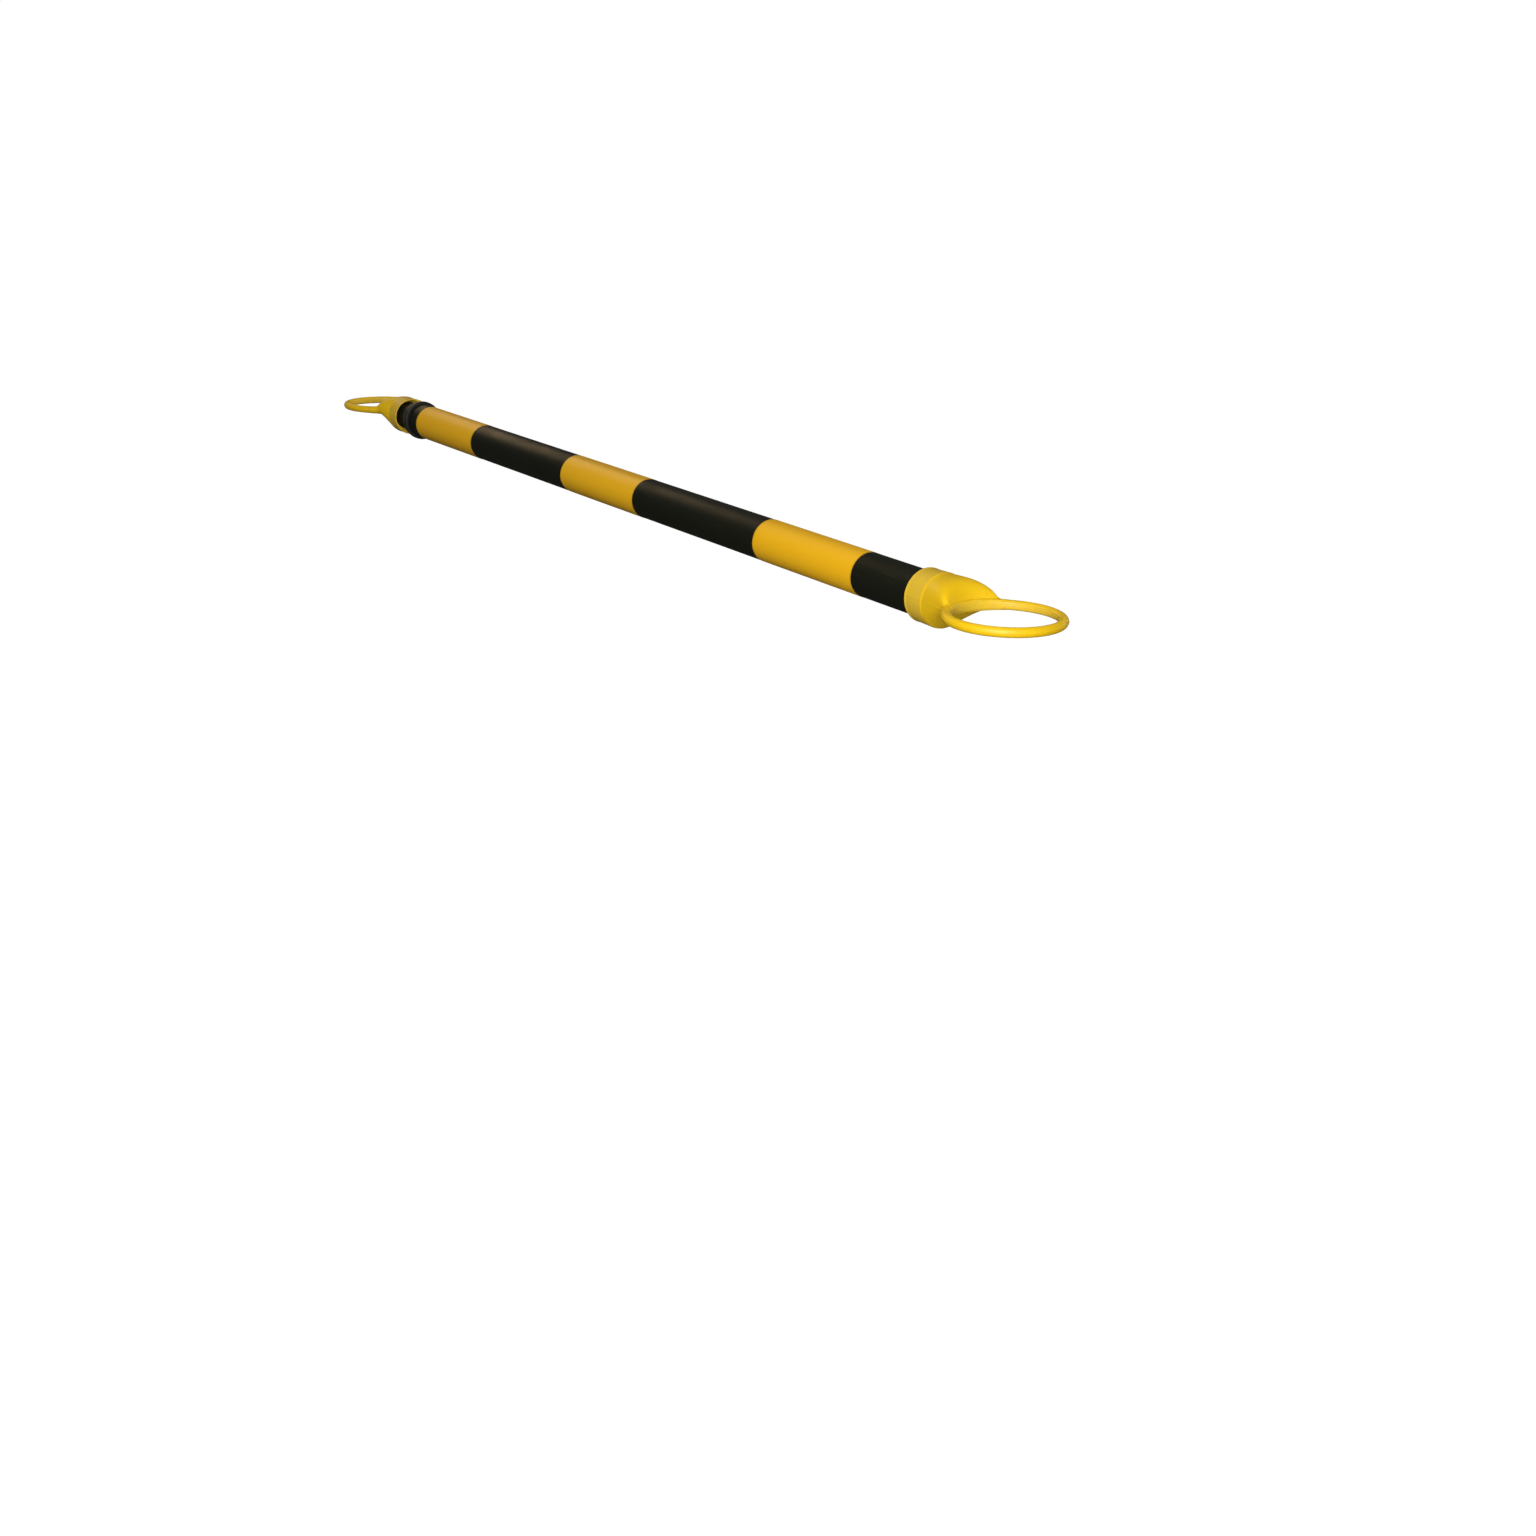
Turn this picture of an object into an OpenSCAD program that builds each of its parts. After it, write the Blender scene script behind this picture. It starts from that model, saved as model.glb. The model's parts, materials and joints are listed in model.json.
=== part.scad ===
// Retractable cone bar: two round tubes, one sliding and turning inside the other, with a
// moulded ring at each end that drops over the top of a traffic cone.
// Millimetres, +Z up. The origin is the centre of the ring on the outer tube, and +X runs
// along the bar to the ring on the sliding inner tube. The tubes' axis lies a little lower.

/* [Pose] */
// Distance between the two ring centres
ring_spacing = 1200; // [1181:1:2067]

/* [Tubes] */
// Outside diameter of the outer tube
outer_tube_d = 38; // [34:0.5:44]
// Wall of the outer tube
outer_tube_wall = 1.5; // [1.2:0.1:2.5]
// Outside diameter of the sliding inner tube
inner_tube_d = 32; // [28:0.5:33]
// Wall of the inner tube
inner_tube_wall = 2; // [1.2:0.1:3]
// X of the outer tube's open mouth
outer_tube_mouth_x = 1090; // [1062:1:1094]
// Length of the inner tube
inner_tube_len = 911.5; // [700:0.5:930]

/* [Bands] */
// Length of each yellow band
band_len = 150; // [50:5:200]
// Distance from one band's start to the next one's
band_pitch = 366.5; // [220:0.5:440]
// Thickness of the band's film
band_thick = 0.25; // [0.1:0.05:0.5]
// Bare tube between a ring cap's mouth and the first band
band_inset = 77.5; // [40:0.5:120]

/* [Rings] */
// Bore of each ring
ring_bore_d = 81; // [70:0.5:110]
// Thickness of the ring's round rod
ring_rod_d = 8; // [5:0.5:10]
// Depth of the flat land turned on the inside of the rod
ring_land_depth = 0.5; // [0.3:0.1:1]
// Half angle of the ring over which its throat is joined to the cap
throat_half_angle = 32; // [15:1:40]
// Height of the throat's crown above the ring's plane
throat_crown_h = 15.2; // [8:0.2:17]
// Width of the throat's crown
throat_crown_w = 38; // [30:1:42]
// Height of the ring's plane above the tubes' axis
ring_lift = 2.8; // [0:0.1:6]

/* [Ring cap on the outer tube] */
// Distance from the ring's centre to the cap's mouth
outer_cap_mouth = 97.5; // [85:0.5:120]
// Outside diameter at the mouth
outer_cap_mouth_d = 43.8; // [40:0.2:50]
// Distance from the ring's centre to the shoulder
outer_cap_shoulder = 74; // [65:0.5:85]
// Outside diameter at the shoulder
outer_cap_shoulder_d = 45; // [42:0.2:54]

/* [Ring cap on the inner tube] */
// Distance from the ring's centre to the cap's mouth
inner_cap_mouth = 84; // [75:0.5:110]
// Outside diameter at the mouth
inner_cap_mouth_d = 40.8; // [38:0.2:48]
// Distance from the ring's centre to the shoulder
inner_cap_shoulder = 64; // [60:0.5:80]
// Outside diameter at the shoulder
inner_cap_shoulder_d = 41.6; // [38:0.2:50]
// Diameter of the recess in the mouth
inner_recess_d = 38; // [34:0.2:44]
// Depth of the recess in the mouth
inner_recess_depth = 8; // [2:0.5:10]

/* [Mouth collar] */
// Outside diameter of the collar's bead
collar_d = 44; // [42:0.5:52]
// Length of the bead
collar_bead_len = 5; // [3:0.5:9]
// Outside diameter of the collar's nose
collar_nose_d = 40; // [38:0.5:44]
// Length of the collar
collar_len = 15; // [10:0.5:30]
// Length of the lip past the tube's mouth
collar_lip = 6; // [3:0.5:10]
// Bore of the lip
collar_bore_d = 33; // [31:0.1:34]

/* [Stop] */
// Length of the split bush
bush_len = 60; // [20:1:100]
// Width of the split in the bush
bush_split = 3; // [1:0.5:6]
// Radial play of the bush in the outer tube
bush_play = 0.15; // [0.05:0.01:0.3]
// Length of the plug inside the inner tube
plug_len = 36; // [20:1:60]
// Diameter of the spring pin across the plug
pin_d = 4; // [3:0.5:6]

/* [Rivets] */
// Shank diameter of the blind rivets
rivet_d = 3.2; // [2.4:0.1:4.8]
// Head diameter of the blind rivets
rivet_head_d = 6.4; // [5:0.1:9]
// Height of the rivet's head
rivet_head_h = 1.0; // [0.6:0.1:1.5]

/* [Hidden] */
$fn = 96;
outer_r = outer_tube_d / 2;
outer_bore_r = outer_r - outer_tube_wall;
inner_r = inner_tube_d / 2;
inner_bore_r = inner_r - inner_tube_wall;
rod_r = ring_rod_d / 2;
ring_r = ring_bore_d / 2 + rod_r - ring_land_depth;
socket_slack = 0.05;
wall_end = 0.3;
seat_depth = 1.5;
outer_seat = outer_cap_shoulder - seat_depth;
inner_seat = inner_cap_shoulder - seat_depth;
socket_core_len = 9;
spot_face_depth = 0.5;
outer_tube_len = outer_tube_mouth_x - outer_seat;
inner_tube_end_x = ring_spacing - inner_seat;
inner_tube_start_x = inner_tube_end_x - inner_tube_len;
collar_x = outer_tube_mouth_x + collar_lip - collar_len;
flange_t = 3.2;
spool_r = 11;
bush_front_x = inner_tube_start_x - flange_t - wall_end;
bush_back_x = bush_front_x - bush_len;
spool_back_x = bush_back_x - wall_end - flange_t;
plug_pin_x = inner_tube_start_x + plug_len / 2;
outer_rivet_t = outer_cap_mouth - 11;
inner_rivet_t = inner_cap_mouth - 12;

yellow = [0.90, 0.68, 0.08];
film_yellow = [0.88, 0.62, 0.08];
black = [0.10, 0.10, 0.09];
white_nylon = [0.86, 0.85, 0.80];
metal = [0.72, 0.73, 0.74];

// Puts a shape at x on the tubes' axis.
module on_axis(x) {
  translate([x, 0, -ring_lift]) children();
}

// Lays a shape that was made along Z along the tubes' axis, starting at x.
module along_bar(x) {
  on_axis(x) rotate([0, 90, 0]) children();
}

// Round tube along the bar.
module tube_at(x, len, ro, ri) {
  along_bar(x) difference() {
    cylinder(r = ro, h = len);
    translate([0, 0, -1]) cylinder(r = ri, h = len + 2);
  }
}

// The right-hand outer tangent of two circles, as its two touching points.
function tangent_points(c1, r1, c2, r2) =
  let (d = c2 - c1, a = atan2(d[1], d[0]), n = a - acos((r1 - r2) / norm(d)))
  [c1 + r1 * [cos(n), sin(n)], c2 + r2 * [cos(n), sin(n)]];

// Solid outline of a cap's sleeve: rounded shoulder, slight taper, rounded rim.
module sleeve_outline(shoulder_t, shoulder_r, mouth_t, mouth_r) {
  edge_r = 2.5;
  rim_r = 1;
  c1 = [shoulder_r - edge_r, shoulder_t + edge_r];
  c2 = [mouth_r - rim_r, mouth_t - rim_r];
  tp = tangent_points(c1, edge_r, c2, rim_r);
  polygon([[0, shoulder_t], [c1[0], shoulder_t], c1, tp[0], tp[1], c2,
           [c2[0], mouth_t], [0, mouth_t]]);
  translate(c1) circle(r = edge_r);
  translate(c2) circle(r = rim_r);
}

// The ring itself: a round rod with a narrow flat land on the inside.
module ring() {
  rotate_extrude() intersection() {
    translate([ring_r, 0]) circle(r = rod_r);
    translate([ring_bore_d / 2, -rod_r]) square([2 * rod_r, 2 * rod_r]);
  }
}

// The throat spreads from the round shoulder to a wide root on the ring. Its top stays full up
// to a crown just short of the ring, and its underside rises to the ring's rod.
module throat(shoulder_t, shoulder_r) {
  crown_t = ring_r + 6;
  crown_half_h = 10;
  difference() {
    hull() {
      along_bar(shoulder_t + 1.4) cylinder(r = shoulder_r - 0.4, h = 2, $fn = 72);
      translate([crown_t, 0, throat_crown_h - crown_half_h]) rotate([0, 90, 0])
        scale([crown_half_h, throat_crown_w / 2, 1]) cylinder(r = 1, h = 0.4, $fn = 48);
      for (i = [-4:4])
        rotate([0, 0, i * throat_half_angle / 4])
          translate([ring_r, 0, 0]) rotate([90, 0, 0])
            cylinder(r = rod_r - 0.1, h = 0.4, center = true, $fn = 24);
    }
    cylinder(r = ring_bore_d / 2 + 1.5, h = 4 * rod_r, center = true);
  }
}

// Distance from the tubes' axis to the flat that a rivet's head sits on.
function rivet_seat_r(shoulder_t, shoulder_r, mouth_t, mouth_r, rivet_t) =
  shoulder_r + (mouth_r - shoulder_r) * (rivet_t - shoulder_t) / (mouth_t - shoulder_t)
  - spot_face_depth;

// One ring cap: ring, throat and a socket for the tube. It points along +X.
module ring_cap(tube_r, seat_t, shoulder_t, shoulder_r, mouth_t, mouth_r, rivet_t) {
  spot_r = rivet_seat_r(shoulder_t, shoulder_r, mouth_t, mouth_r, rivet_t);
  difference() {
    union() {
      along_bar(0) rotate_extrude() sleeve_outline(shoulder_t, shoulder_r, mouth_t, mouth_r);
      throat(shoulder_t, shoulder_r);
      ring();
    }
    along_bar(seat_t) cylinder(r = tube_r + socket_slack, h = mouth_t);
    along_bar(seat_t - socket_core_len)
      cylinder(r1 = tube_r * 0.42, r2 = tube_r - 2.2, h = socket_core_len + 0.01);
    rivet_hole(rivet_t);
    on_axis(rivet_t) rotate([180, 0, 0]) translate([0, 0, spot_r])
      cylinder(d = rivet_head_d + 1, h = mouth_r);
  }
}

// Blind rivet, seen from outside: domed head at z = 0, shank down to -grip, swelled tail below.
module blind_rivet(grip) {
  tail_r = rivet_d / 2 + 0.8;
  difference() {
    union() {
      intersection() {
        cylinder(d = rivet_head_d, h = rivet_head_h);
        translate([0, 0, rivet_head_h - 6.2]) sphere(r = 6.2);
      }
      translate([0, 0, -grip - 1]) cylinder(d = rivet_d, h = grip + 1.2);
      translate([0, 0, -grip - 2.6]) cylinder(r = tail_r, h = 2.6);
    }
    translate([0, 0, rivet_head_h - 0.9]) cylinder(r = 0.8, h = 2);
  }
}

// Hole for a rivet's shank, pointing down from the tubes' axis.
module rivet_hole(x) {
  on_axis(x) rotate([180, 0, 0]) cylinder(d = rivet_d, h = outer_tube_d);
}

// Hole right across the inner tube for the plug's pin.
module pin_hole() {
  on_axis(plug_pin_x) cylinder(d = pin_d, h = 2 * inner_tube_d, center = true);
}

module outer_tube() {
  color(black) difference() {
    tube_at(outer_seat, outer_tube_len, outer_r, outer_bore_r);
    rivet_hole(outer_rivet_t);
  }
}

module outer_band(number) {
  x = outer_cap_mouth + band_inset + number * band_pitch;
  color(film_yellow) tube_at(x, band_len, outer_r + band_thick, outer_r);
}

module outer_band_near() {
  outer_band(0);
}

module outer_band_middle() {
  outer_band(1);
}

module outer_band_far() {
  outer_band(2);
}

module outer_ring_cap() {
  color(yellow)
    ring_cap(outer_r, outer_seat, outer_cap_shoulder, outer_cap_shoulder_d / 2,
             outer_cap_mouth, outer_cap_mouth_d / 2, outer_rivet_t);
}

module outer_cap_rivet() {
  seat = rivet_seat_r(outer_cap_shoulder, outer_cap_shoulder_d / 2, outer_cap_mouth,
                      outer_cap_mouth_d / 2, outer_rivet_t);
  color(metal) on_axis(outer_rivet_t) rotate([180, 0, 0]) translate([0, 0, seat])
    blind_rivet(seat - outer_bore_r + 0.12);
}

// Collar on the outer tube's mouth: a bead and a tapered nose. Its lip keeps the bush in.
module mouth_collar() {
  edge_r = 1.2;
  bead_r = collar_d / 2;
  nose_c = collar_nose_d / 2 - edge_r;
  nose_t = collar_len - edge_r;
  color(black) along_bar(collar_x) difference() {
    rotate_extrude() {
      polygon([[0, 0], [bead_r - edge_r, 0], [bead_r, edge_r], [bead_r, collar_bead_len],
               [nose_c + edge_r, nose_t], [nose_c, collar_len], [0, collar_len]]);
      translate([bead_r - edge_r, edge_r]) circle(r = edge_r);
      translate([nose_c, nose_t]) circle(r = edge_r);
    }
    translate([0, 0, -1]) cylinder(r = outer_r + socket_slack, h = collar_len - collar_lip + 1);
    cylinder(d = collar_bore_d, h = collar_len + 1);
    translate([0, 0, collar_len - 1]) cylinder(d1 = collar_bore_d, d2 = collar_bore_d + 2.4, h = 1.2);
  }
}

// Split bush that rides in the outer tube and stops against the collar's lip.
module stop_bush() {
  r = outer_bore_r - bush_play;
  color(white_nylon) difference() {
    along_bar(bush_back_x) difference() {
      rotate_extrude() polygon([[0, 0], [r - 0.6, 0], [r, 1.2], [r, bush_len - 0.5],
                                [r - 0.25, bush_len], [0, bush_len]]);
      translate([0, 0, -1]) cylinder(r = spool_r + 0.1, h = bush_len + 2);
    }
    on_axis(bush_back_x - 1) translate([0, -bush_split / 2, 0])
      cube([bush_len + 2, bush_split, outer_r]);
  }
}

module inner_tube() {
  color(black) difference() {
    tube_at(inner_tube_start_x, inner_tube_len, inner_r, inner_bore_r);
    rivet_hole(ring_spacing - inner_rivet_t);
    pin_hole();
  }
}

module inner_band(number) {
  x = ring_spacing - inner_cap_mouth - band_inset - band_len - number * band_pitch;
  color(film_yellow) tube_at(x, band_len, inner_r + band_thick, inner_r);
}

module inner_band_far() {
  inner_band(0);
}

module inner_band_near() {
  inner_band(1);
}

// Plug in the inner tube's hidden end: a spool with two flanges that hold the bush.
module stop_plug() {
  color(black) difference() {
    union() {
      along_bar(inner_tube_start_x) cylinder(r = inner_bore_r, h = plug_len);
      along_bar(bush_front_x + wall_end) cylinder(r = inner_r, h = flange_t);
      along_bar(spool_back_x + 1) cylinder(r = spool_r, h = inner_tube_start_x - spool_back_x);
      along_bar(spool_back_x) cylinder(r = inner_r, h = flange_t);
    }
    along_bar(spool_back_x - 1) cylinder(r = spool_r - 2.5, h = plug_len + bush_len + 60);
    pin_hole();
  }
}

// Spring pin across the inner tube and the plug, kept below the tube's surface.
module stop_plug_pin() {
  color(metal) on_axis(plug_pin_x) difference() {
    cylinder(d = pin_d, h = 2 * inner_r - 1.6, center = true);
    cylinder(d = pin_d - 1.6, h = 2 * inner_r, center = true);
    translate([0, -0.4, -inner_r]) cube([pin_d, 0.8, 2 * inner_r]);
  }
}

module inner_ring_cap() {
  color(yellow) difference() {
    translate([ring_spacing, 0, 0]) rotate([0, 0, 180])
      ring_cap(inner_r, inner_seat, inner_cap_shoulder, inner_cap_shoulder_d / 2,
               inner_cap_mouth, inner_cap_mouth_d / 2, inner_rivet_t);
    along_bar(ring_spacing - inner_cap_mouth - 1)
      cylinder(d = inner_recess_d, h = inner_recess_depth + 1);
  }
}

module inner_cap_rivet() {
  seat = rivet_seat_r(inner_cap_shoulder, inner_cap_shoulder_d / 2, inner_cap_mouth,
                      inner_cap_mouth_d / 2, inner_rivet_t);
  color(metal) on_axis(ring_spacing - inner_rivet_t) rotate([180, 0, 0]) translate([0, 0, seat])
    blind_rivet(seat - inner_bore_r + 0.12);
}

outer_tube();
outer_band_near();
outer_band_middle();
outer_band_far();
outer_ring_cap();
outer_cap_rivet();
mouth_collar();
stop_bush();
inner_tube();
inner_band_near();
inner_band_far();
stop_plug();
stop_plug_pin();
inner_ring_cap();
inner_cap_rivet();
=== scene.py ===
import itertools
import json
import math
from functools import partial

import bpy
import numpy as np
from mathutils import Matrix, Vector


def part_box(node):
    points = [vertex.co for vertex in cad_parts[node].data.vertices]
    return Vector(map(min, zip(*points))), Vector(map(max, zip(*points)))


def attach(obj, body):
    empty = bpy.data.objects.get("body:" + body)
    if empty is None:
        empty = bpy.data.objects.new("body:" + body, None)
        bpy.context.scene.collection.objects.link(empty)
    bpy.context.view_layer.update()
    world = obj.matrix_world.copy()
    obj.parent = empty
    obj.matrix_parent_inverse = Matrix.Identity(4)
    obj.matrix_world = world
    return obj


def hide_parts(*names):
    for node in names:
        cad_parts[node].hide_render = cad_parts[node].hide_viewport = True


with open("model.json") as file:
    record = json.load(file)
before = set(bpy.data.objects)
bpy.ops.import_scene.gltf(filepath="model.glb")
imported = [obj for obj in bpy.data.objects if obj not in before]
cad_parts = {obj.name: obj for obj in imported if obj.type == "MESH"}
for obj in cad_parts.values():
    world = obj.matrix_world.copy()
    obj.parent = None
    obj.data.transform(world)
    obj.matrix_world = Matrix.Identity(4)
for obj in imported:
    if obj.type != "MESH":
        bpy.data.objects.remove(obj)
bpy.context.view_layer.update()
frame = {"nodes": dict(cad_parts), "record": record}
MM = 0.001

# Camera: off the outer tube's end and a little above the bar.
CAMERA_PLACE = (-1.1341, 0.9516, 0.3603)
CAMERA_RIGHT = (-0.54027, -0.84105, 0.0271)
CAMERA_FORWARD = (0.79453, -0.52046, -0.31279)
CAMERA_SENSOR = 36.0
CAMERA_LENS = 47.086
CAMERA_NEAREST = 0.02
CAMERA_FARTHEST = 200.0

camera = bpy.data.objects.new("camera", bpy.data.cameras.new("camera"))
camera.data.sensor_width = CAMERA_SENSOR
camera.data.lens = CAMERA_LENS
camera.data.clip_start = CAMERA_NEAREST
camera.data.clip_end = CAMERA_FARTHEST
right = Vector(CAMERA_RIGHT).normalized()
forward = Vector(CAMERA_FORWARD)
forward = (forward - right * forward.dot(right)).normalized()
facing = Matrix((right, right.cross(forward), -forward)).transposed().to_4x4()
camera.matrix_world = Matrix.Translation(CAMERA_PLACE) @ facing
bpy.context.scene.collection.objects.link(camera)
bpy.context.scene.camera = camera


# Materials.
def linear(colour):
    """An sRGB hex colour as linear RGBA."""
    parts = [int(colour[i:i + 2], 16) / 255 for i in (1, 3, 5)]
    return [c / 12.92 if c <= 0.04045 else ((c + 0.055) / 1.055) ** 2.4 for c in parts] + [1.0]


def add(tree, kind, inputs=(), **settings):
    """Adds one node. A node or socket given as an input is linked, and any other value is set."""
    made = tree.nodes.new("ShaderNode" + kind)
    for key, value in settings.items():
        setattr(made, key, value)
    for key, value in dict(inputs).items():
        if isinstance(value, bpy.types.Node):
            value = next(socket for socket in value.outputs if socket.enabled)
        if isinstance(value, bpy.types.NodeSocket):
            tree.links.new(value, made.inputs[key])
        else:
            made.inputs[key].default_value = value
    return made


def new_finish(name):
    """A new material with an empty tree, and the object coordinates for its patterns."""
    look = bpy.data.materials.new(name)
    look.use_nodes = True
    look.node_tree.nodes.clear()
    return look, look.node_tree, add(look.node_tree, "TexCoord").outputs["Object"]


def features(x_mm, y_mm, z_mm):
    """The scale of a pattern whose features are that long along each axis."""
    return [1000.0 / x_mm, 1000.0 / y_mm, 1000.0 / z_mm]


# A colour mix has several sockets of each name, so its three are told apart by number.
FACTOR = 0
FIRST = 6
SECOND = 7
# Most of a noise pattern lies between these values.
NOISE_SPAN = {"From Min": 0.3, "From Max": 0.7}

# Extruded black PVC: satin, with faint die lines along the tube and paler rub marks. The lines are
# drawn 1.1 mm apart, coarser than real ones, so that they show.
tube_pvc, tree, coords = new_finish("extruded_black_pvc")
lines_at = add(tree, "Mapping", {"Vector": coords, "Scale": features(160, 1.1, 1.1)})
die_lines = add(tree, "TexNoise", {"Vector": lines_at, "Scale": 1.0, "Detail": 2.0})
rubs_at = add(tree, "Mapping", {"Vector": coords, "Scale": features(26, 1.6, 1.6)})
rubs = add(tree, "TexNoise", {"Vector": rubs_at, "Scale": 1.0, "Detail": 2.0})
rubbed = add(tree, "MapRange", {"Value": rubs, "From Min": 0.64, "From Max": 0.74, "To Max": 0.5})
handling_at = add(tree, "Mapping", {"Vector": coords, "Scale": features(60, 22, 22)})
handling = add(tree, "TexNoise", {"Vector": handling_at, "Scale": 1.0, "Detail": 4.0})
colour = add(tree, "Mix", {FACTOR: rubbed, FIRST: linear("#13150c"), SECOND: linear("#26261c")},
             data_type="RGBA")
rough = add(tree, "MapRange", {"Value": handling, **NOISE_SPAN, "To Min": 0.40, "To Max": 0.52})
bump = add(tree, "Bump", {"Height": die_lines, "Distance": 0.03 * MM})
shader = add(tree, "BsdfPrincipled", {"Base Color": colour, "Roughness": rough, "Normal": bump, "IOR": 1.53,
                                      "Specular IOR Level": 0.15})
add(tree, "OutputMaterial", {"Surface": shader})

# Calendered yellow vinyl film: even colour, soft gloss, slight orange peel, grime along its cut edges.
FILM_GRIME = 2.2 * MM
band_low, band_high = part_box("outer_band_near")
grime_share = FILM_GRIME / (band_high.x - band_low.x)
film_vinyl, tree, coords = new_finish("yellow_vinyl_film")
tint_at = add(tree, "Mapping", {"Vector": coords, "Scale": features(90, 30, 30)})
tint = add(tree, "TexNoise", {"Vector": tint_at, "Scale": 1.0, "Detail": 2.0})
clean = add(tree, "Mix", {FACTOR: tint, FIRST: linear("#e7ac0e"), SECOND: linear("#ebb214")},
            data_type="RGBA")
along_band = add(tree, "SeparateXYZ", {"Vector": add(tree, "TexCoord").outputs["Generated"]}).outputs["X"]
off_middle = add(tree, "Math", {0: along_band, 1: 0.5}, operation="SUBTRACT")
to_edge = add(tree, "Math", {0: off_middle}, operation="ABSOLUTE")
grime = add(tree, "MapRange", {"Value": to_edge, "From Min": 0.5 - grime_share, "From Max": 0.5,
                               "To Max": 0.4})
colour = add(tree, "Mix", {FACTOR: grime, FIRST: clean, SECOND: linear("#8a6a1c")}, data_type="RGBA")
rough = add(tree, "MapRange", {"Value": tint, **NOISE_SPAN, "To Min": 0.38, "To Max": 0.48})
peel_at = add(tree, "Mapping", {"Vector": coords, "Scale": features(2.4, 2.4, 2.4)})
peel = add(tree, "TexNoise", {"Vector": peel_at, "Scale": 1.0, "Detail": 2.0})
bump = add(tree, "Bump", {"Height": peel, "Distance": 0.02 * MM})
shader = add(tree, "BsdfPrincipled", {"Base Color": colour, "Roughness": rough, "Normal": bump, "IOR": 1.52,
                                      "Specular IOR Level": 0.3})
add(tree, "OutputMaterial", {"Surface": shader})

# Injection moulded yellow polypropylene: satin with faint flow marks, chalky where the ring bears, and a
# duller, darker yellow on the sleeve that is painted shade. Its grain is drawn coarser than a real one, so
# that it shows.
cap_pp, tree, coords = new_finish("moulded_yellow_polypropylene")
flow_at = add(tree, "Mapping", {"Vector": coords, "Scale": features(34, 16, 16)})
flow = add(tree, "TexNoise", {"Vector": flow_at, "Scale": 1.0, "Detail": 3.0})
fresh = add(tree, "Mix", {FACTOR: flow, FIRST: linear("#dcb00e"), SECOND: linear("#e3b814")},
            data_type="RGBA")
patches_at = add(tree, "Mapping", {"Vector": coords, "Scale": features(9, 5, 5)})
patches = add(tree, "TexNoise", {"Vector": patches_at, "Scale": 1.0, "Detail": 4.0})
patchy = add(tree, "MapRange", {"Value": patches, **NOISE_SPAN, "To Min": 0.6, "To Max": 1.2})
# Mixed towards a greyer yellow: rubbing in the bore, and painted shade on the sleeve.
rub_and_shade = add(tree, "Math", {0: add(tree, "Attribute", attribute_name="rub_and_shade").outputs["Fac"], 1: patchy},
          operation="MULTIPLY")
colour = add(tree, "Mix", {FACTOR: rub_and_shade, FIRST: fresh, SECOND: linear("#b9a04a")}, data_type="RGBA")
rough = add(tree, "MapRange", {"Value": flow, **NOISE_SPAN, "To Min": 0.36, "To Max": 0.46})
grain_at = add(tree, "Mapping", {"Vector": coords, "Scale": features(1.6, 1.6, 1.6)})
grain = add(tree, "TexNoise", {"Vector": grain_at, "Scale": 1.0, "Detail": 2.0})
bump = add(tree, "Bump", {"Height": grain, "Distance": 0.03 * MM})
shader = add(tree, "BsdfPrincipled", {"Base Color": colour, "Roughness": rough, "Normal": bump, "IOR": 1.49,
                                      "Specular IOR Level": 0.3})
add(tree, "OutputMaterial", {"Surface": shader})

# Moulded black nylon with a spark eroded grain: matt, no sharp highlight. The grain is drawn coarser
# than a real one, so that it shows.
collar_nylon, tree, coords = new_finish("grained_black_nylon")
grain_at = add(tree, "Mapping", {"Vector": coords, "Scale": features(1.4, 1.4, 1.4)})
grain = add(tree, "TexNoise", {"Vector": grain_at, "Scale": 1.0, "Detail": 2.0})
colour = add(tree, "Mix", {FACTOR: grain, FIRST: linear("#11110e"), SECOND: linear("#1c1b17")},
             data_type="RGBA")
rough = add(tree, "MapRange", {"Value": grain, **NOISE_SPAN, "To Min": 0.46, "To Max": 0.62})
bump = add(tree, "Bump", {"Height": grain, "Distance": 0.08 * MM})
shader = add(tree, "BsdfPrincipled", {"Base Color": colour, "Roughness": rough, "Normal": bump,
                                      "IOR": 1.53})
add(tree, "OutputMaterial", {"Surface": shader})

# Turned natural nylon: waxy off-white with turning lines, drawn coarser than real ones.
bush_nylon, tree, coords = new_finish("natural_nylon")
turning_at = add(tree, "Mapping", {"Vector": coords, "Scale": features(0.8, 40, 40)})
turning = add(tree, "TexNoise", {"Vector": turning_at, "Scale": 1.0, "Detail": 2.0})
colour = add(tree, "Mix", {FACTOR: turning, FIRST: linear("#d2cebf"), SECOND: linear("#e0ddd2")},
             data_type="RGBA")
rough = add(tree, "MapRange", {"Value": turning, **NOISE_SPAN, "To Min": 0.38, "To Max": 0.50})
bump = add(tree, "Bump", {"Height": turning, "Distance": 0.03 * MM})
shader = add(tree, "BsdfPrincipled", {"Base Color": colour, "Roughness": rough, "Normal": bump,
                                      "IOR": 1.53})
add(tree, "OutputMaterial", {"Surface": shader})

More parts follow.
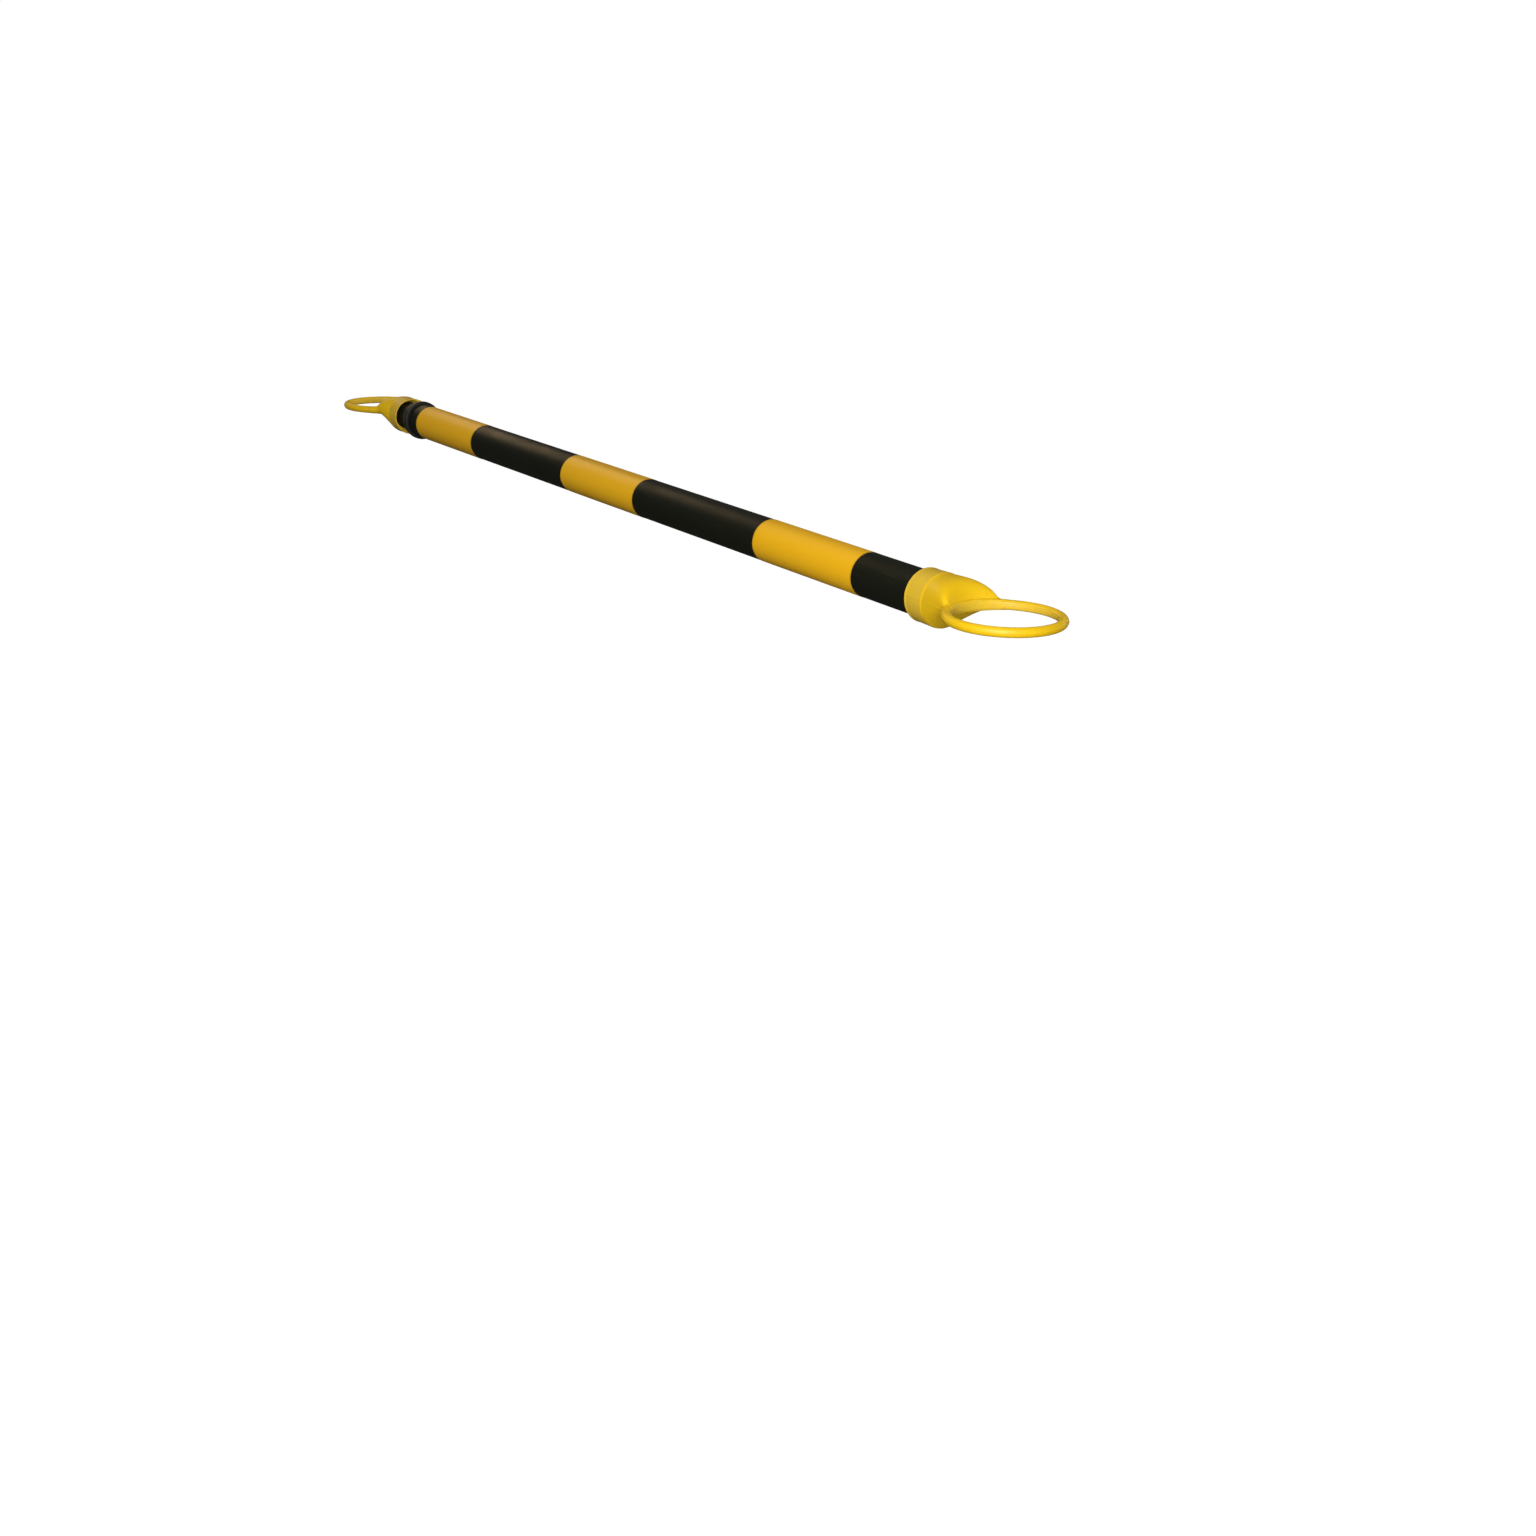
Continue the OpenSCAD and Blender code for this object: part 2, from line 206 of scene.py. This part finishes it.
# Plain aluminium of a set blind rivet: soft metallic gloss with fine tool marks.
rivet_aluminium, tree, coords = new_finish("plain_aluminium")
marks_at = add(tree, "Mapping", {"Vector": coords, "Scale": features(0.9, 0.9, 3.0)})
marks = add(tree, "TexNoise", {"Vector": marks_at, "Scale": 1.0, "Detail": 3.0})
colour = add(tree, "Mix", {FACTOR: marks, FIRST: linear("#a9aaab"), SECOND: linear("#c3c4c4")},
             data_type="RGBA")
rough = add(tree, "MapRange", {"Value": marks, **NOISE_SPAN, "To Min": 0.28, "To Max": 0.44})
bump = add(tree, "Bump", {"Height": marks, "Distance": 0.02 * MM})
shader = add(tree, "BsdfPrincipled", {"Base Color": colour, "Roughness": rough, "Normal": bump,
                                      "Metallic": 1.0})
add(tree, "OutputMaterial", {"Surface": shader})

# Oiled spring steel of the rolled pin: dark and streaked along its length.
pin_steel, tree, coords = new_finish("oiled_spring_steel")
streaks_at = add(tree, "Mapping", {"Vector": coords, "Scale": features(0.6, 0.6, 9.0)})
streaks = add(tree, "TexNoise", {"Vector": streaks_at, "Scale": 1.0, "Detail": 3.0})
colour = add(tree, "Mix", {FACTOR: streaks, FIRST: linear("#5a5855"), SECOND: linear("#7a7874")},
             data_type="RGBA")
rough = add(tree, "MapRange", {"Value": streaks, **NOISE_SPAN, "To Min": 0.30, "To Max": 0.45})
bump = add(tree, "Bump", {"Height": streaks, "Distance": 0.02 * MM})
shader = add(tree, "BsdfPrincipled", {"Base Color": colour, "Roughness": rough, "Normal": bump,
                                      "Metallic": 1.0})
add(tree, "OutputMaterial", {"Surface": shader})

# The CAD nodes that show as they are.
for name, look in {"outer_tube": tube_pvc, "inner_tube": tube_pvc, "mouth_collar": collar_nylon,
                   "stop_plug": collar_nylon, "stop_bush": bush_nylon, "stop_plug_pin": pin_steel,
                   "outer_cap_rivet": rivet_aluminium, "inner_cap_rivet": rivet_aluminium}.items():
    slots = frame["nodes"][name].data.materials
    slots.clear()
    slots.append(look)


def add_piece(name, places, faces, look, body, node):
    """Makes a smooth mesh, in metres in the part's frame, for a body and the node it stands for."""
    mesh = bpy.data.meshes.new(name)
    mesh.from_pydata([tuple(p) for p in places], [], [tuple(int(i) for i in f) for f in faces])
    mesh.polygons.foreach_set("use_smooth", [True] * len(mesh.polygons))
    mesh.materials.append(look)
    made = bpy.data.objects.new(name, mesh)
    bpy.context.scene.collection.objects.link(made)
    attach(made, body)
    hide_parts(node)
    return made


# Bands: film wrapped once round a tube, lapped over its own start under the bar. Angles run from the top.
FILM = 0.12 * MM
FILM_LAP = 12 * MM
FILM_CLIMB = 2.5 * MM
FILM_START = 1.15 * math.pi
FILM_STEPS = 200
FILM_CORNER = math.radians(40)


def wrap_film(node, body):
    """A band of film in the place of a node. Its end climbs onto its start over FILM_CLIMB."""
    low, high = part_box(node)
    middle_z = (low.z + high.z) / 2
    tube_r = high.z - middle_z - 2 * FILM
    climb = FILM_CLIMB / tube_r
    turn = 2 * math.pi
    places, faces = [], []
    for angle in np.linspace(0.0, turn + FILM_LAP / tube_r, FILM_STEPS + 1):
        rise = min(max((angle - turn + climb) / climb, 0.0), 1.0)
        inside = tube_r + FILM * rise * rise * (3 - 2 * rise)
        outside = inside + FILM
        way = (math.sin(angle + FILM_START), math.cos(angle + FILM_START))
        for x, r in ((low.x, inside), (low.x, outside), (high.x, outside), (high.x, inside)):
            places.append((x, r * way[0], middle_z + r * way[1]))
    for i in range(FILM_STEPS):
        for j in range(4):
            k = (j + 1) % 4
            faces.append((4 * i + j, 4 * i + k, 4 * i + 4 + k, 4 * i + 4 + j))
    faces += [(3, 2, 1, 0), tuple(4 * FILM_STEPS + j for j in range(4))]
    made = add_piece(node + "_film", places, faces, film_vinyl, body, node)
    made.data.set_sharp_from_angle(angle=FILM_CORNER)


for node in ("outer_band_near", "outer_band_middle", "outer_band_far"):
    wrap_film(node, "outer")
for node in ("inner_band_near", "inner_band_far"):
    wrap_film(node, "inner")

# Ring caps: one moulding each, blended with fillets from a ring, a throat and a sleeve. All their
# sizes are in millimetres.
mounts = {mount["name"]: mount for mount in frame["record"]["mounts"]}


def span(node, axis):
    """A node's lowest and highest place along an axis, to the nearest 0.1 mm."""
    low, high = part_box(node)
    return round(low[axis] / MM, 1), round(high[axis] / MM, 1)


# The ring, and how far its plane lies above the tubes' axis.
BORE_R = mounts["outer_ring"]["dims"]["r_mm"]
ROD_R = 4.0
LAND_DEPTH = 0.5
RING_R = BORE_R + ROD_R - LAND_DEPTH
RING_LIFT = -sum(span("outer_tube", 2)) / 2

# The throat: how wide it leaves the ring, how full it is on top, the power of its oval sections, how
# far it stays out of the bore and reaches into the rod and the sleeve, its step below the shoulder,
# how much sooner its underside is down, and how gently it ends inside the sleeve.
THROAT_HALF_ANGLE = math.radians(32)
THROAT_FULLNESS = 5.5
THROAT_POWER_AT_RING = 2.4
THROAT_POWER_AT_SLEEVE = 2.0
THROAT_OUT_OF_BORE = 1.5
THROAT_INTO_ROD = 2.0
THROAT_INTO_SLEEVE = 1.4
THROAT_STEP = 0.4
THROAT_LEAD = 1.06
THROAT_FADE = 0.3

# The sleeve: its mouth, the socket that seats the tube below the shoulder, the recess in the mouth, the
# bead round it, the spot face under the rivet's head, and the mould's parting line.
OUTER_MOUTH_R = 21.9
INNER_MOUTH_R = 20.4
SEAT_DEPTH = 1.5
SOCKET_SLACK = 0.05
RECESS_R = 19.0
RECESS_DEPTH = 8.0
BEAD_R = 1.3
BEAD_INSET = 0.95
SPOT_FACE_R = 3.7
SPOT_FACE_DEPTH = 0.5
PARTING_HEIGHT = 0.18
PARTING_WIDTH = 0.3

# Widths of the fillets and rounded edges.
RING_FILLET = 3.0
THROAT_FILLET = 0.8
BEAD_FILLET = 0.5
SHOULDER_ROUND = 3.0
MOUTH_ROUND = 1.6
ROOT_ROUND = 0.8
LAND_ROUND = 0.5
CUT_ROUND = 0.2

# The grid that a cap's surface is found on: its steps, finer at the parting line and round the mouth
# and the shoulder, and its margin round the cap.
GRID_STEP = 0.85
GRID_STEP_ALONG = 1.1
GRID_STEP_AT_EDGES = 0.4
GRID_STEP_AT_PARTING = 0.18
GRID_FINE_REACH = 2.0
GRID_BEFORE_MOUTH = 1.0
GRID_PAST_SHOULDER = 0.5
GRID_MARGIN = 1.2

# How the grid's points are brought onto the surface and evened out along it.
SLOPE_STEP = 0.02
SLOPE_LEAST = 0.05
SETTLE_ROUNDS = 4
SETTLE_MOST = 0.8
EASE_ROUNDS = 3
EASE_SHARE = 0.4

# Where the caps are greyed: rubbed chalky in the bore, and painted shade on the sleeve from just past the
# shoulder.
RUB_AND_SHADE_MOST = 0.4
BORE_RUB_WIDTH = 1.0
SLEEVE_SHADE_START = 1.0
SLEEVE_SHADE_FADE = 2.0


def cap_sizes(cap, tube, rivet, ring_x, mouth_r):
    """A cap's sizes from the frame. Distances along it run from its ring's centre towards its tube."""
    low, high = span(cap, 2)
    tube_low, tube_high = span(tube, 2)
    socket_r = (tube_high - tube_low) / 2 + SOCKET_SLACK
    seat = min(abs(x - ring_x) for x in span(tube, 0))
    return {"socket_r": socket_r,
            "seat": seat,
            "shoulder": seat + SEAT_DEPTH,
            "shoulder_r": (high - low) / 2,
            "mouth": max(abs(x - ring_x) for x in span(cap, 0)),
            "mouth_r": mouth_r,
            "recess_r": max(RECESS_R, socket_r),
            "rivet": abs(sum(span(rivet, 0)) / 2 - ring_x)}


def smooth_max(a, b, k):
    """The larger of two distances, rounded over a width k where they meet."""
    h = np.clip(0.5 + 0.5 * (a - b) / k, 0.0, 1.0)
    return b + (a - b) * h + k * h * (1.0 - h)


def smooth_min(a, b, k):
    """The smaller of two distances, filleted over a width k where they meet."""
    return -smooth_max(-a, -b, k)


def throat_distance(t, y, z, cap):
    """The throat: oval sections, full on top, whose underside rises from the shoulder to the ring."""
    root_half = RING_R * math.sin(THROAT_HALF_ANGLE)
    root = np.sqrt(RING_R ** 2 - np.minimum(np.abs(y), root_half) ** 2)
    end = cap["shoulder"] + THROAT_INTO_SLEEVE
    end_r = cap["shoulder_r"] - THROAT_STEP
    s = np.clip((t - root) / (end - root), 0.0, 1.0)
    top = ROD_R + (end_r - RING_LIFT - ROD_R) * (1.0 - (1.0 - s) ** THROAT_FULLNESS)
    under = -ROD_R + (ROD_R - RING_LIFT - end_r) * np.minimum(THROAT_LEAD * s, 1.0)
    half_h = (top - under) / 2
    half_w = root_half + ROD_R + (end_r - root_half - ROD_R) * s
    power = THROAT_POWER_AT_RING + (THROAT_POWER_AT_SLEEVE - THROAT_POWER_AT_RING) * s
    beside = np.abs(y / half_w) ** power
    above = np.abs((z - (top + under) / 2) / half_h) ** power
    throat = ((beside + above) ** (1.0 / power) - 1.0) * half_h
    throat = smooth_max(throat, BORE_R + THROAT_OUT_OF_BORE - np.hypot(t, y), ROOT_ROUND)
    return np.maximum(throat, np.maximum(THROAT_FADE * (t - end), root - THROAT_INTO_ROD - t))


def cap_distance(p, cap):
    """How far points are outside a cap's surface, in millimetres, less than 0 inside it."""
    t, y, z = p[..., 0], p[..., 1], p[..., 2]
    from_bar = np.hypot(y, z + RING_LIFT)
    from_ring = np.hypot(t, y)
    past_mouth = t - cap["mouth"]
    rod = np.hypot(from_ring - RING_R, z) - ROD_R
    rod = smooth_max(rod, BORE_R - from_ring, LAND_ROUND)

    taper = (cap["mouth_r"] - cap["shoulder_r"]) / (cap["mouth"] - cap["shoulder"])
    sleeve_r = cap["shoulder_r"] + taper * (t - cap["shoulder"])
    sleeve = smooth_max(from_bar - sleeve_r, past_mouth, MOUTH_ROUND)
    sleeve = smooth_max(sleeve, cap["shoulder"] - t, SHOULDER_ROUND)
    bead = np.hypot(past_mouth + BEAD_INSET, from_bar - cap["mouth_r"] + BEAD_INSET) - BEAD_R
    sleeve = smooth_max(smooth_min(sleeve, bead, BEAD_FILLET), past_mouth, CUT_ROUND)

    throat = throat_distance(t, y, z, cap)
    solid = smooth_min(smooth_min(sleeve, throat, THROAT_FILLET), rod, RING_FILLET)
    solid = solid - PARTING_HEIGHT * np.exp(-(z / PARTING_WIDTH) ** 2)

    socket = np.maximum(from_bar - cap["socket_r"], cap["seat"] - t)
    recess = np.maximum(from_bar - cap["recess_r"], -RECESS_DEPTH - past_mouth)
    spot_r = cap["shoulder_r"] + taper * (cap["rivet"] - cap["shoulder"]) - SPOT_FACE_DEPTH
    spot = np.maximum(np.hypot(t - cap["rivet"], y) - SPOT_FACE_R, z + RING_LIFT + spot_r)
    solid = smooth_max(solid, -np.minimum(socket, recess), CUT_ROUND)
    return smooth_max(solid, -spot, CUT_ROUND)


def grid_line(low, high, coarse, fine, spots):
    """Steps from low to high, fine within GRID_FINE_REACH of each spot and coarse elsewhere."""
    steps = [low]
    while steps[-1] < high:
        near = min(abs(steps[-1] - spot) for spot in spots) < GRID_FINE_REACH
        steps.append(steps[-1] + (fine if near else coarse))
    return np.array(steps)


def slope_of(distance, p):
    """The gradient of a distance at each point."""
    steps = SLOPE_STEP * np.eye(3)
    return np.stack([(distance(p + e) - distance(p - e)) / (2 * SLOPE_STEP) for e in steps], axis=-1)


def settle(distance, p):
    """Moves points onto the surface along its slope."""
    for _ in range(SETTLE_ROUNDS):
        slope = slope_of(distance, p)
        steepness = np.maximum((slope * slope).sum(1), SLOPE_LEAST)[:, None]
        move = distance(p)[:, None] * slope / steepness
        p = p - np.clip(move, -SETTLE_MOST, SETTLE_MOST)
    return p


def ease(distance, places, faces):
    """Settles vertices on the surface and moves each some way towards its neighbours."""
    links = np.concatenate([faces[:, [k, (k + 1) % 4]] for k in range(4)])
    degree = np.bincount(links.ravel(), minlength=len(places))[:, None]
    places = settle(distance, places)
    for _ in range(EASE_ROUNDS):
        total = np.zeros_like(places)
        np.add.at(total, links[:, 0], places[links[:, 1]])
        np.add.at(total, links[:, 1], places[links[:, 0]])
        places = settle(distance, (1.0 - EASE_SHARE) * places + EASE_SHARE * total / degree)
    return places


def edge_quads(inside, number, axis):
    """A quad round each grid edge along an axis that the surface crosses, through the four cells there."""
    u, v = (axis + 1) % 3, (axis + 2) % 3
    lines = np.moveaxis(inside, axis, 0)
    found = np.nonzero(lines[1:] != lines[:-1])
    at = np.zeros((len(found[0]), 3), int)
    for k, values in zip([axis] + [k for k in range(3) if k != axis], found):
        at[:, k] = values
    corners = []
    for du, dv in ((-1, -1), (0, -1), (0, 0), (-1, 0)):
        cell = at.copy()
        cell[:, u] += du
        cell[:, v] += dv
        corners.append(number[tuple(cell.T)])
    quads = np.stack(corners, axis=1)
    entering = ~inside[tuple(at.T)]
    quads[entering] = quads[entering][:, ::-1]
    return quads


def skin(distance, axes):
    """A quad mesh of the surface where distance is 0, one vertex in each grid cell that it crosses."""
    inside = distance(np.stack(np.meshgrid(*axes, indexing="ij"), axis=-1)) < 0
    cells = [n - 1 for n in inside.shape]
    corners_inside = np.zeros(cells, int)
    for i, j, k in itertools.product((0, 1), repeat=3):
        corners_inside += inside[i:i + cells[0], j:j + cells[1], k:k + cells[2]]
    crossed = (corners_inside > 0) & (corners_inside < 8)
    number = np.full(cells, -1)
    number[crossed] = np.arange(crossed.sum())
    middles = [(a[1:] + a[:-1]) / 2 for a in axes]
    places = np.stack(np.meshgrid(*middles, indexing="ij"), axis=-1)[crossed]
    faces = np.concatenate([edge_quads(inside, number, axis) for axis in range(3)])
    return ease(distance, places, faces), faces


def mould_cap(node, body, cap, ring_x, turned):
    """Moulds a cap round its ring's centre. A turned cap has its tube on the -X side."""
    distance = partial(cap_distance, cap=cap)
    reach = RING_R + ROD_R + GRID_MARGIN
    half = cap["shoulder_r"] + GRID_MARGIN
    edges = (cap["mouth"] - GRID_BEFORE_MOUTH, cap["shoulder"] + GRID_PAST_SHOULDER)
    along = grid_line(-reach, cap["mouth"] + GRID_MARGIN, GRID_STEP_ALONG, GRID_STEP_AT_EDGES, edges)
    across = grid_line(-reach, reach, GRID_STEP, GRID_STEP, (0.0,))
    upward = grid_line(-half - RING_LIFT, half - RING_LIFT, GRID_STEP, GRID_STEP_AT_PARTING, (0.0,))
    places, faces = skin(distance, (along, across, upward))
    normals = slope_of(distance, places)
    normals /= np.linalg.norm(normals, axis=1)[:, None]

    t, y = places[:, 0], places[:, 1]
    worn_and_shaded = np.exp(-((np.hypot(t, y) - BORE_R) / BORE_RUB_WIDTH) ** 2)
    # Painted shade: the sleeve from just past the shoulder is darkened as if it lay in shade.
    worn_and_shaded += np.clip((t - cap["shoulder"] - SLEEVE_SHADE_START) / SLEEVE_SHADE_FADE, 0.0, 1.0)
    way = np.array((-1.0, -1.0, 1.0)) if turned else np.ones(3)
    places = places * way * MM + np.array((ring_x * MM, 0.0, 0.0))
    made = add_piece(node + "_moulding", places, faces, cap_pp, body, node)
    made.data.normals_split_custom_set_from_vertices(normals * way)
    rub_and_shade_places = made.data.attributes.new("rub_and_shade", "FLOAT", "POINT")
    rub_and_shade_places.data.foreach_set("value", RUB_AND_SHADE_MOST * np.minimum(worn_and_shaded, 1.0))


outer_x, inner_x = (mounts[ring]["pos_m"][0] / MM for ring in ("outer_ring", "inner_ring"))
outer_cap = cap_sizes("outer_ring_cap", "outer_tube", "outer_cap_rivet", outer_x, OUTER_MOUTH_R)
inner_cap = cap_sizes("inner_ring_cap", "inner_tube", "inner_cap_rivet", inner_x, INNER_MOUTH_R)
mould_cap("outer_ring_cap", "outer", outer_cap, outer_x, turned=False)
mould_cap("inner_ring_cap", "inner", inner_cap, inner_x, turned=True)

# Stage: a plain white floor that fades into a white backdrop, so that no horizon shows.
BACKDROP = "#ffffff"
FLOOR_PLACE = (0.6, 0.0, -0.63)
FLOOR_R = 40.0
FLOOR_FADE = {"From Min": 2.0, "From Max": 9.0}

bpy.ops.mesh.primitive_circle_add(vertices=96, radius=FLOOR_R, fill_type="NGON", location=FLOOR_PLACE)
floor = bpy.context.object
floor.name = "floor"
floor.visible_diffuse = False
floor.visible_glossy = False
floor_look, tree, coords = new_finish("pale_floor")
ground = add(tree, "BsdfPrincipled", {"Base Color": linear("#5c5c5a"), "Roughness": 0.9,
                                      "Specular IOR Level": 0.1, "Emission Color": linear(BACKDROP),
                                      "Emission Strength": 0.99})
away = add(tree, "VectorMath", {0: coords}, operation="LENGTH").outputs["Value"]
fade = add(tree, "MapRange", {"Value": away, **FLOOR_FADE})
clear = add(tree, "MixShader", {0: fade, 1: ground, 2: add(tree, "BsdfTransparent")})
add(tree, "OutputMaterial", {"Surface": clear})
floor.data.materials.append(floor_look)

# World: a dim soft studio that lights the object, and the backdrop for the camera.
world = bpy.data.worlds.new("soft_studio")
bpy.context.scene.world = world
world.use_nodes = True
tree = world.node_tree
tree.nodes.clear()
up = add(tree, "SeparateXYZ", {"Vector": add(tree, "TexCoord").outputs["Generated"]}).outputs["Z"]
height = add(tree, "MapRange", {"Value": up, "From Min": -0.4, "From Max": 0.9})
sky = add(tree, "Mix", {FACTOR: height, FIRST: linear("#474540"), SECOND: linear("#63656a")},
          data_type="RGBA")
to_camera = add(tree, "LightPath").outputs["Is Camera Ray"]
seen = add(tree, "Mix", {FACTOR: to_camera, FIRST: sky, SECOND: linear(BACKDROP)}, data_type="RGBA")
add(tree, "OutputWorld", {"Surface": add(tree, "Background", {"Color": seen})})


def softbox(name, place, aim, size, watts, colour="#ffffff", shines=True):
    """A soft rectangular studio lamp that the camera doesn't see. A fill lamp leaves no shine either."""
    lamp = bpy.data.lights.new(name, "AREA")
    lamp.shape = "RECTANGLE"
    lamp.size, lamp.size_y = size
    lamp.energy = watts
    lamp.color = linear(colour)[:3]
    made = bpy.data.objects.new(name, lamp)
    made.location = place
    made.rotation_euler = (Vector(aim) - Vector(place)).to_track_quat("-Z", "Y").to_euler()
    made.visible_camera = False
    made.visible_glossy = shines
    bpy.context.scene.collection.objects.link(made)


softbox("key", place=(-0.9, 1.05, 0.72), aim=(0.3, 0.0, 0.0), size=(1.0, 0.7), watts=37.0)
softbox("end", place=(2.6, -0.1, 0.9), aim=(1.0, 0.0, 0.0), size=(0.9, 0.7), watts=4.2, colour="#ffdcaa")
softbox("far_side", place=(1.35, 0.9, 0.45), aim=(1.1, 0.0, 0.0), size=(0.5, 0.4), watts=1.8, shines=False)
softbox("near_end", place=(-0.4, 0.16, -0.55), aim=(0.05, 0.0, 0.0), size=(0.3, 0.3), watts=2.2,
        shines=False)
softbox("back", place=(0.6, -1.8, 0.25), aim=(0.6, 0.0, 0.0), size=(1.8, 0.6), watts=26.0, shines=False)

# Colours go to the picture as they are lit, with no film look.
bpy.context.scene.view_settings.view_transform = "Standard"
